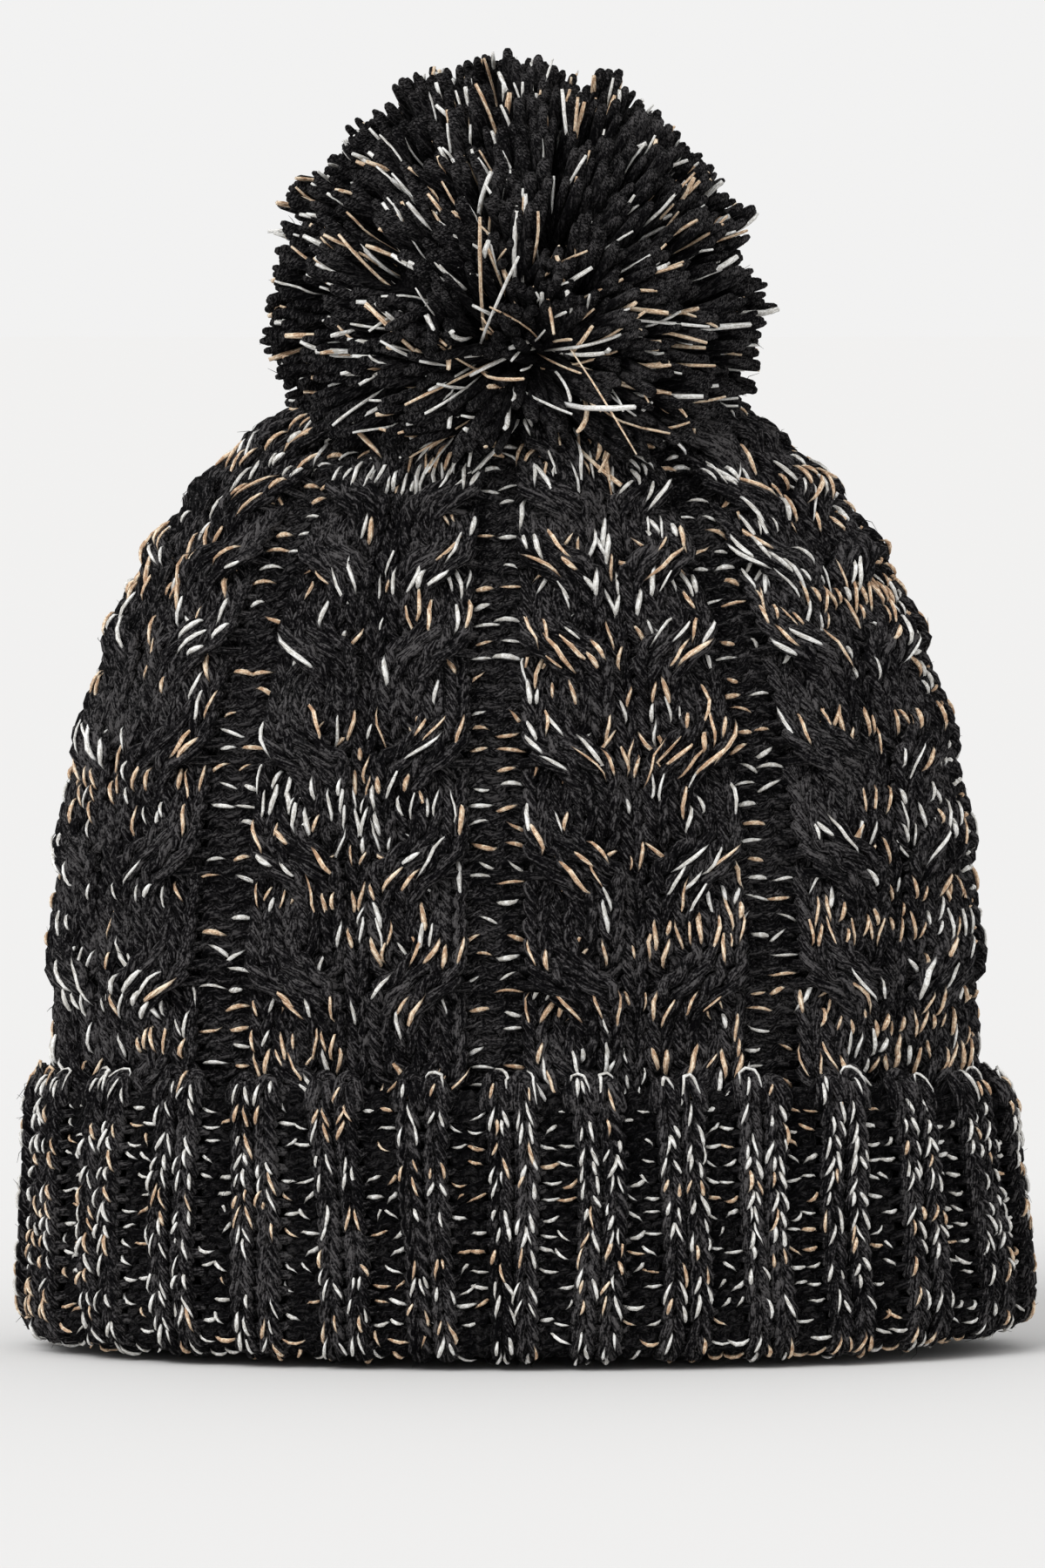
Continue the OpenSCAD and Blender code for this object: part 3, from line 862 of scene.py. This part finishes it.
def strand_path(direction, length, inner, droop, curl, steps, rise=0.0, astray=0.0):
    """A cut strand from inside the ball to its tip. It leans away from the parting, droops and curls."""
    pole = unit(PARTING * np.sign(direction @ PARTING) + astray)
    shares = inner + (1 - inner) * steps
    off = math.acos(min(float(direction @ pole), 1.0))
    across = unit(direction - pole * math.cos(off))
    lean = 1.3 * min(1.0, 1.9 * (1 - off / (math.pi / 2)))
    turned = (off * np.clip(1 - lean * (1 - shares), 0.05, 1))[:, None]
    aim = pole * np.cos(turned) + across * np.sin(turned)
    path = HEART + aim * (shares * length)[:, None]
    bend = unit(np.cross(direction, rng.normal(0, 1, 3)))
    path += (np.outer(curl * length * (shares - inner) ** 2, bend)
             + np.outer(rise * np.sin(math.pi * steps), pole))
    path[:, 2] -= droop * length * np.clip(shares - 0.35, 0, 1) ** 2
    return path


def sphere_directions(count, lowest):
    """Evenly spread directions, no lower than a given sine of elevation."""
    k = np.arange(count) + 0.5
    up = 1 - (1 - lowest) * k / count
    turn = k * math.pi * (3 - math.sqrt(5))
    flat = np.sqrt(1 - up ** 2)
    return round_points(flat, turn, up)


def pompom():
    strands, light, stray = [], {"cream": [], "tan": []}, []
    tufts = sphere_directions(TUFTS, -0.52)
    tufts = unit(tufts + rng.normal(0, 0.04, tufts.shape))
    tuft_length = rng.normal(0, 1.6, len(tufts))
    tuft_lean = rng.normal(0, 0.07, tufts.shape)
    tuft_astray = rng.normal(0, 0.20, tufts.shape)
    for direction in sphere_directions(STRANDS, -0.50):
        direction = unit(direction + rng.normal(0, 0.05, 3))
        nearest = int(np.argmax(tufts @ direction))
        loose = rng.random() < LOOSE_SHARE
        if not loose:
            direction = unit(direction * (1 - TUFT_PULL) + tufts[nearest] * TUFT_PULL + tuft_lean[nearest])
        frontness = abs(direction[1]) / (np.hypot(direction[0], direction[1]) + 1e-9)
        direction[2] = max(direction[2], -(SKIRT_LOW + SKIRT_FRONT * frontness ** 2))
        direction = unit(direction)
        off = off_parting(direction)
        if off < 0.16:      # the tie fills the parting's middle
            continue
        length = ball_reach(direction) + tuft_length[nearest] + rng.normal(0, 0.9) - abs(rng.normal(0, 1.6))
        droop = 0.03 + 0.05 * max(-direction[2], 0) / 0.5
        radius = rng.uniform(0.95, 1.4)
        astray = tuft_astray[nearest] * (not loose) + rng.normal(0, 0.10, 3)
        path = strand_path(direction, length, ROOT, droop, rng.normal(0, 0.09), STRAND_STEPS, astray=astray)
        strands.append((path, radius * STRAND_WIDTHS))
        root = rng.integers(1, 4)
        start = path[root] + unit(rng.normal(0, 1, 3)) * radius * 0.9
        aim = unit(unit(path[root + 1] - path[root]) + 0.4 * rng.normal(0, 1, 3)) * rng.uniform(1.5, 4.5)
        stray.append((np.stack([start, start + aim * 0.5 + rng.normal(0, 0.3, 3), start + aim]),
                      (0.09, 0.075, 0.03)))     # a stray fibre
        if rng.random() < LIGHT_SHARE:
            colour = "cream" if rng.random() < CREAM_SHARE else "tan"
            tilted = unit(direction + rng.normal(0, 0.03, 3))
            near_parting = math.exp(-(off / 0.6) ** 2)
            inner = rng.uniform(0.54, 0.86) - 0.14 * near_parting
            path = strand_path(tilted, length + rng.uniform(-1.6, 0.7), inner, droop,
                               rng.normal(0, 0.45 + 1.5 * near_parting), LIGHT_STEPS, rng.uniform(0.5, 2.4),
                               astray + rng.normal(0, 0.12, 3))
            path += np.outer(rng.normal(0, 0.45) * np.sin(TURN * LIGHT_STEPS * rng.uniform(0.7, 1.3)),
                             unit(rng.normal(0, 1, 3)))
            light[colour].append((path, (0.26 + 0.34 * rng.random() ** 1.6) * LIGHT_WIDTHS))
    half = len(strands) // 2
    for name, part in (("pompom_strands_top", strands[:half]), ("pompom_strands_low", strands[half:])):
        yarn_piece(name, part, pompom_black, "pompom", "pompom_yarn", "pompom_ball")
    for colour, material in strand_looks.items():
        yarn_piece(f"pompom_{colour}_strands", light[colour], material, "pompom", f"{colour}_strand",
                   sides=4)
    yarn_piece("pompom_stray_fibres", stray, stray_fibre, "pompom", "pompom_yarn", sides=4)
    bm = bmesh.new()
    bmesh.ops.create_icosphere(bm, subdivisions=4, radius=1)
    for vert in bm.verts:
        d = unit(np.array(vert.co))
        d[2] = max(d[2], -0.42)
        lump = 1 + 0.03 * math.sin(23 * d[0] + 3) * math.sin(19 * d[1]) * math.sin(21 * d[2] + 1)
        vert.co = Vector((HEART + d * ball_reach(d) * INNER_YARN * lump) * MM)
    heart = bpy.data.meshes.new("pompom_inner_yarn")
    bm.to_mesh(heart)
    bm.free()
    add_piece("pompom_inner_yarn", heart, pompom_black, "pompom", "pompom_yarn")


pompom()


# ---------------------------------------------------------------- inside the crown and under the pompom

GATHER_HIGH = size_mm("crown_gather")[1]
STRING_LOW, STRING_HIGH = size_mm("gather_yarn")
SEAM_LOW, SEAM_HIGH = size_mm("back_seam")
STRANDS_LOW, STRANDS_HIGH = size_mm("anchor_strands")
KNOT_LOW, KNOT_HIGH = size_mm("anchor_knot")


def back_seam():
    """Two strands that lace up the joined edges, inside the centre back."""
    lace_r, lace_half_w, inside = 1.15, 1.3, 4.9
    stitch = crown.gap
    wall = crown.wall
    low, high = np.interp([SEAM_LOW[2] + 1, SEAM_HIGH[2] - 1], wall.profile[:, 2], wall.along)
    s = np.linspace(low, high, int((high - low) / stitch * 8))
    paths = []
    for lacing in (0, math.pi):
        turn = math.pi * s / stitch + lacing
        across = lace_half_w * np.sin(turn) / wall.girth(s)
        lift = -inside - 0.6 * np.cos(2 * turn)
        place, _ = wall.place(0.5 + across, s, lift)
        paths.append((place, np.full(len(s), lace_r)))
    return paths


def gathered_loops():
    """The last stitches of the crown, drawn in round the eye for the tie."""
    loops, yarn_r = 22, 1.05
    opening = 0.126         # half of the angle between a loop's legs
    arch_h, leg_drop = 1.5, 1.2
    paths = []
    outer, inner = GATHER_HIGH[0] - 1.2, 4.3
    t = np.linspace(0, 1, 7)
    for k in range(loops):
        turn = TURN * (k + rng.uniform(-0.15, 0.15)) / loops
        reach = outer + (inner - outer) * np.sin(math.pi * t) ** 0.8
        level = GATHER_HIGH[2] - 2.6 + arch_h * np.sin(math.pi * t) - leg_drop * (t > 0.5)
        points = round_points(reach, turn + opening * (2 * t - 1), level)
        paths.append((points, np.full(len(t), yarn_r)))
    return paths


def plied_ring():
    """The drawstring: three plies twisted round a ring."""
    plies, twists, ply_r, ply_at = 3, 9, 0.56, 0.52
    middle_r = STRING_HIGH[0] - 1.1
    t = np.linspace(0, TURN, 120, endpoint=False)
    paths = []
    for ply in range(plies):
        twist = twists * t + TURN * ply / plies
        reach = middle_r + ply_at * np.cos(twist)
        level = (STRING_LOW[2] + STRING_HIGH[2]) / 2 + ply_at * np.sin(twist)
        paths.append((round_points(reach, t, level), np.full(len(t), ply_r)))
    return paths


def anchor_bundle():
    """The tie's strands, side by side and slightly twisted, from the crown's eye down to the knot."""
    outer_strands, strand_r, bundle_r, twist = 6, 0.86, 1.62, 1.3
    t = np.linspace(0, 1, 10)
    paths = []
    for k in range(outer_strands + 1):
        reach = 0 if k == outer_strands else bundle_r
        turn = TURN * k / outer_strands + twist * t
        level = STRANDS_LOW[2] - 1 + (STRANDS_HIGH[2] - STRANDS_LOW[2]) * t
        paths.append((round_points(reach, turn, level), np.full(len(t), strand_r)))
    return paths


def wound_knot():
    """A knot of yarn: one strand wound this way and that round itself."""
    layers = (11, 4, 3.8), (7, 9, 3.3)      # each one's turns, tilts and radius
    yarn_r, steepest = 1.05, 1.25
    middle = (KNOT_LOW + KNOT_HIGH) / 2
    t = np.linspace(0, TURN, 420, endpoint=False)
    paths = []
    for layer, (turns, tilts, ball_r) in enumerate(layers):
        latitude = steepest * np.sin(tilts * t + layer)
        ball = round_points(np.cos(latitude), turns * t, np.sin(latitude))
        paths.append((middle + ball_r * ball[:, [2, 0, 1]], np.full(len(t), yarn_r)))
    return paths


yarn_piece("laced_back_seam", back_seam(), plain_yarn, "hat", "crown_knit", "back_seam")
yarn_piece("gathered_loops", gathered_loops(), plain_yarn, "hat", "crown_knit", "crown_gather")
yarn_piece("plied_drawstring", plied_ring(), cream_yarn, "hat", "cream_strand", "gather_yarn", closed=True)
yarn_piece("anchor_bundle", anchor_bundle(), plain_yarn, "hat", "tie_yarn", "anchor_strands")
yarn_piece("wound_knot", wound_knot(), plain_yarn, "hat", "tie_yarn", "anchor_knot", closed=True)


def care_label():
    """A short piece of blank satin tape, hung from its rolled top edge."""
    bm = bmesh.new()
    bmesh.ops.create_grid(bm, x_segments=30, y_segments=26, size=0.5)
    wide = LABEL_HIGH[0] - LABEL_LOW[0]
    thick = 0.45
    bow_depth = 0.5
    back = LABEL_HIGH[1] - 0.8
    roll_r, roll_arc = 0.55, 3.4
    top = LABEL_HIGH[2] - roll_r - 0.3
    long = top - LABEL_LOW[2]
    for vert in bm.verts:
        x, down = vert.co.x * wide, (0.5 - vert.co.y) * (long + roll_arc)
        bow = bow_depth * math.sin(math.pi * (vert.co.x + 0.5)) * max(down - roll_arc, 0) / long
        if down < roll_arc:     # the top edge rolls over towards the seam
            turn = math.pi * (1 - down / roll_arc) * 1.1
            y, z = back + roll_r * (math.cos(turn) - 1), top + roll_r * math.sin(turn)
        else:
            y, z = back - bow, top - (down - roll_arc)
        vert.co = (x * MM, y * MM, z * MM)
    bmesh.ops.recalc_face_normals(bm, faces=bm.faces)
    bmesh.ops.solidify(bm, geom=bm.faces, thickness=thick * MM)
    bmesh.ops.recalc_face_normals(bm, faces=bm.faces)
    mesh = bpy.data.meshes.new("blank_care_label")
    bm.to_mesh(mesh)
    bm.free()
    return mesh, (wide * MM, (long + roll_arc) * MM)


def tape_material():
    """Satin tape: fine ribs across it and a slight sheen."""
    sh = Shader("satin_tape")
    place = sh.place()
    ribs = sh.waves("Z", place, 520.0, 0.4)
    threads = sh.waves("X", place, 760.0, 0.6)
    tone = ribs * 0.35 + threads * 0.25 + sh.noise(place, 260.0, 3.0) * 0.4
    colour = sh.ramp([(0.2, (0.66, 0.65, 0.62)), (0.8, (0.88, 0.87, 0.85))], tone)
    normal = sh.bump(ribs * 0.6 + threads * 0.4, 0.5, 0.0001)
    return sh.finish({"Base Color": colour, "Roughness": 0.48, "Normal": normal, "Sheen Weight": 0.15})


def strand_material(name, dark, light, scale):
    """Yarn on a piece without a map of its own: plies that slant across it, and fibres."""
    sh = Shader(name)
    place = sh.place()
    plies = sh.waves("DIAGONAL", place, scale, 1.5, Detail=2.0, **{"Detail Scale": 2.0})
    fibres = sh.noise(place, 2400.0, 3.0)
    colour = sh.ramp([(0.3, dark), (0.8, light)], plies * 0.45 + fibres * 0.55)
    normal = sh.bump(plies * 0.7 + fibres * 0.5, 0.8, 0.0004)
    return sh.finish({"Base Color": colour, "Roughness": 0.92, "Normal": normal, "Sheen Weight": 0.05})


label_mesh, label_flat = care_label()
label = add_piece("blank_care_label", label_mesh, tape_material(), "label", "label_tape", "care_label")

tie_black = strand_material("tie_black", (0.004, 0.004, 0.004), (0.06, 0.058, 0.058), 700.0)
NODE_LOOKS = {
    "tie_loop": tie_black, "tie_neck": tie_black, "pompom_core": tie_black,
    "pompom_binding": strand_material("binding_tan", (0.42, 0.24, 0.14), (0.90, 0.72, 0.52), 900.0),
    "label_stitching": strand_material("sewing_thread", (0.55, 0.54, 0.52), (0.9, 0.89, 0.86), 1500.0)}
for node_name, look in NODE_LOOKS.items():
    node_mesh = bpy.data.objects[node_name].data
    node_mesh.materials.clear()
    node_mesh.materials.append(look)


# ---------------------------------------------------------------- studio

WORLD_TONE, FLOOR_TONE = (0.888, 0.886, 0.884, 1), (0.707, 0.704, 0.70, 1)
FLOOR_HALF = 12.0       # metres

world = bpy.data.worlds.new("studio")
world.use_nodes = True
world.node_tree.nodes["Background"].inputs["Color"].default_value = WORLD_TONE
world.node_tree.nodes["Background"].inputs["Strength"].default_value = 1.0
bpy.context.scene.world = world
bpy.context.scene.view_settings.view_transform = "Standard"

floor_mesh = bpy.data.meshes.new("floor")
bm = bmesh.new()
bmesh.ops.create_grid(bm, x_segments=2, y_segments=2, size=FLOOR_HALF)
bm.to_mesh(floor_mesh)
bm.free()
floor = bpy.data.objects.new("floor", floor_mesh)
bpy.context.scene.collection.objects.link(floor)
paper = Shader("pale_paper")
grain = paper.noise(paper.place(), 900.0, 2.0)
floor_mesh.materials.append(paper.finish({
    "Base Color": FLOOR_TONE, "Roughness": 0.9, "Specular IOR Level": 0.0,
    "Normal": paper.bump(grain, 0.1, 0.0002)}))

key_direction = Vector((0.62, 0.85, -0.95))     # from the upper left, in front
key = bpy.data.lights.new("key", "SUN")
key.energy = 1.7
key.angle = math.radians(38)                    # a wide source, so the shadow is soft
key_object = bpy.data.objects.new("key", key)
key_object.rotation_euler = key_direction.to_track_quat("-Z", "Y").to_euler()
bpy.context.scene.collection.objects.link(key_object)

camera = bpy.data.cameras.new("camera")
distance = 3.0
tilt = math.radians(3.0)
view_tall = 0.352       # metres from the bottom to the top of the view
camera.lens = camera.sensor_width * distance / view_tall
camera_object = bpy.data.objects.new("camera", camera)
target = Vector((0.0024, 0, 0.1268))
camera_object.location = target + distance * Vector((0, -math.cos(tilt), math.sin(tilt)))
camera_object.rotation_euler = (target - camera_object.location).to_track_quat("-Z", "Y").to_euler()
bpy.context.scene.collection.objects.link(camera_object)
bpy.context.scene.camera = camera_object
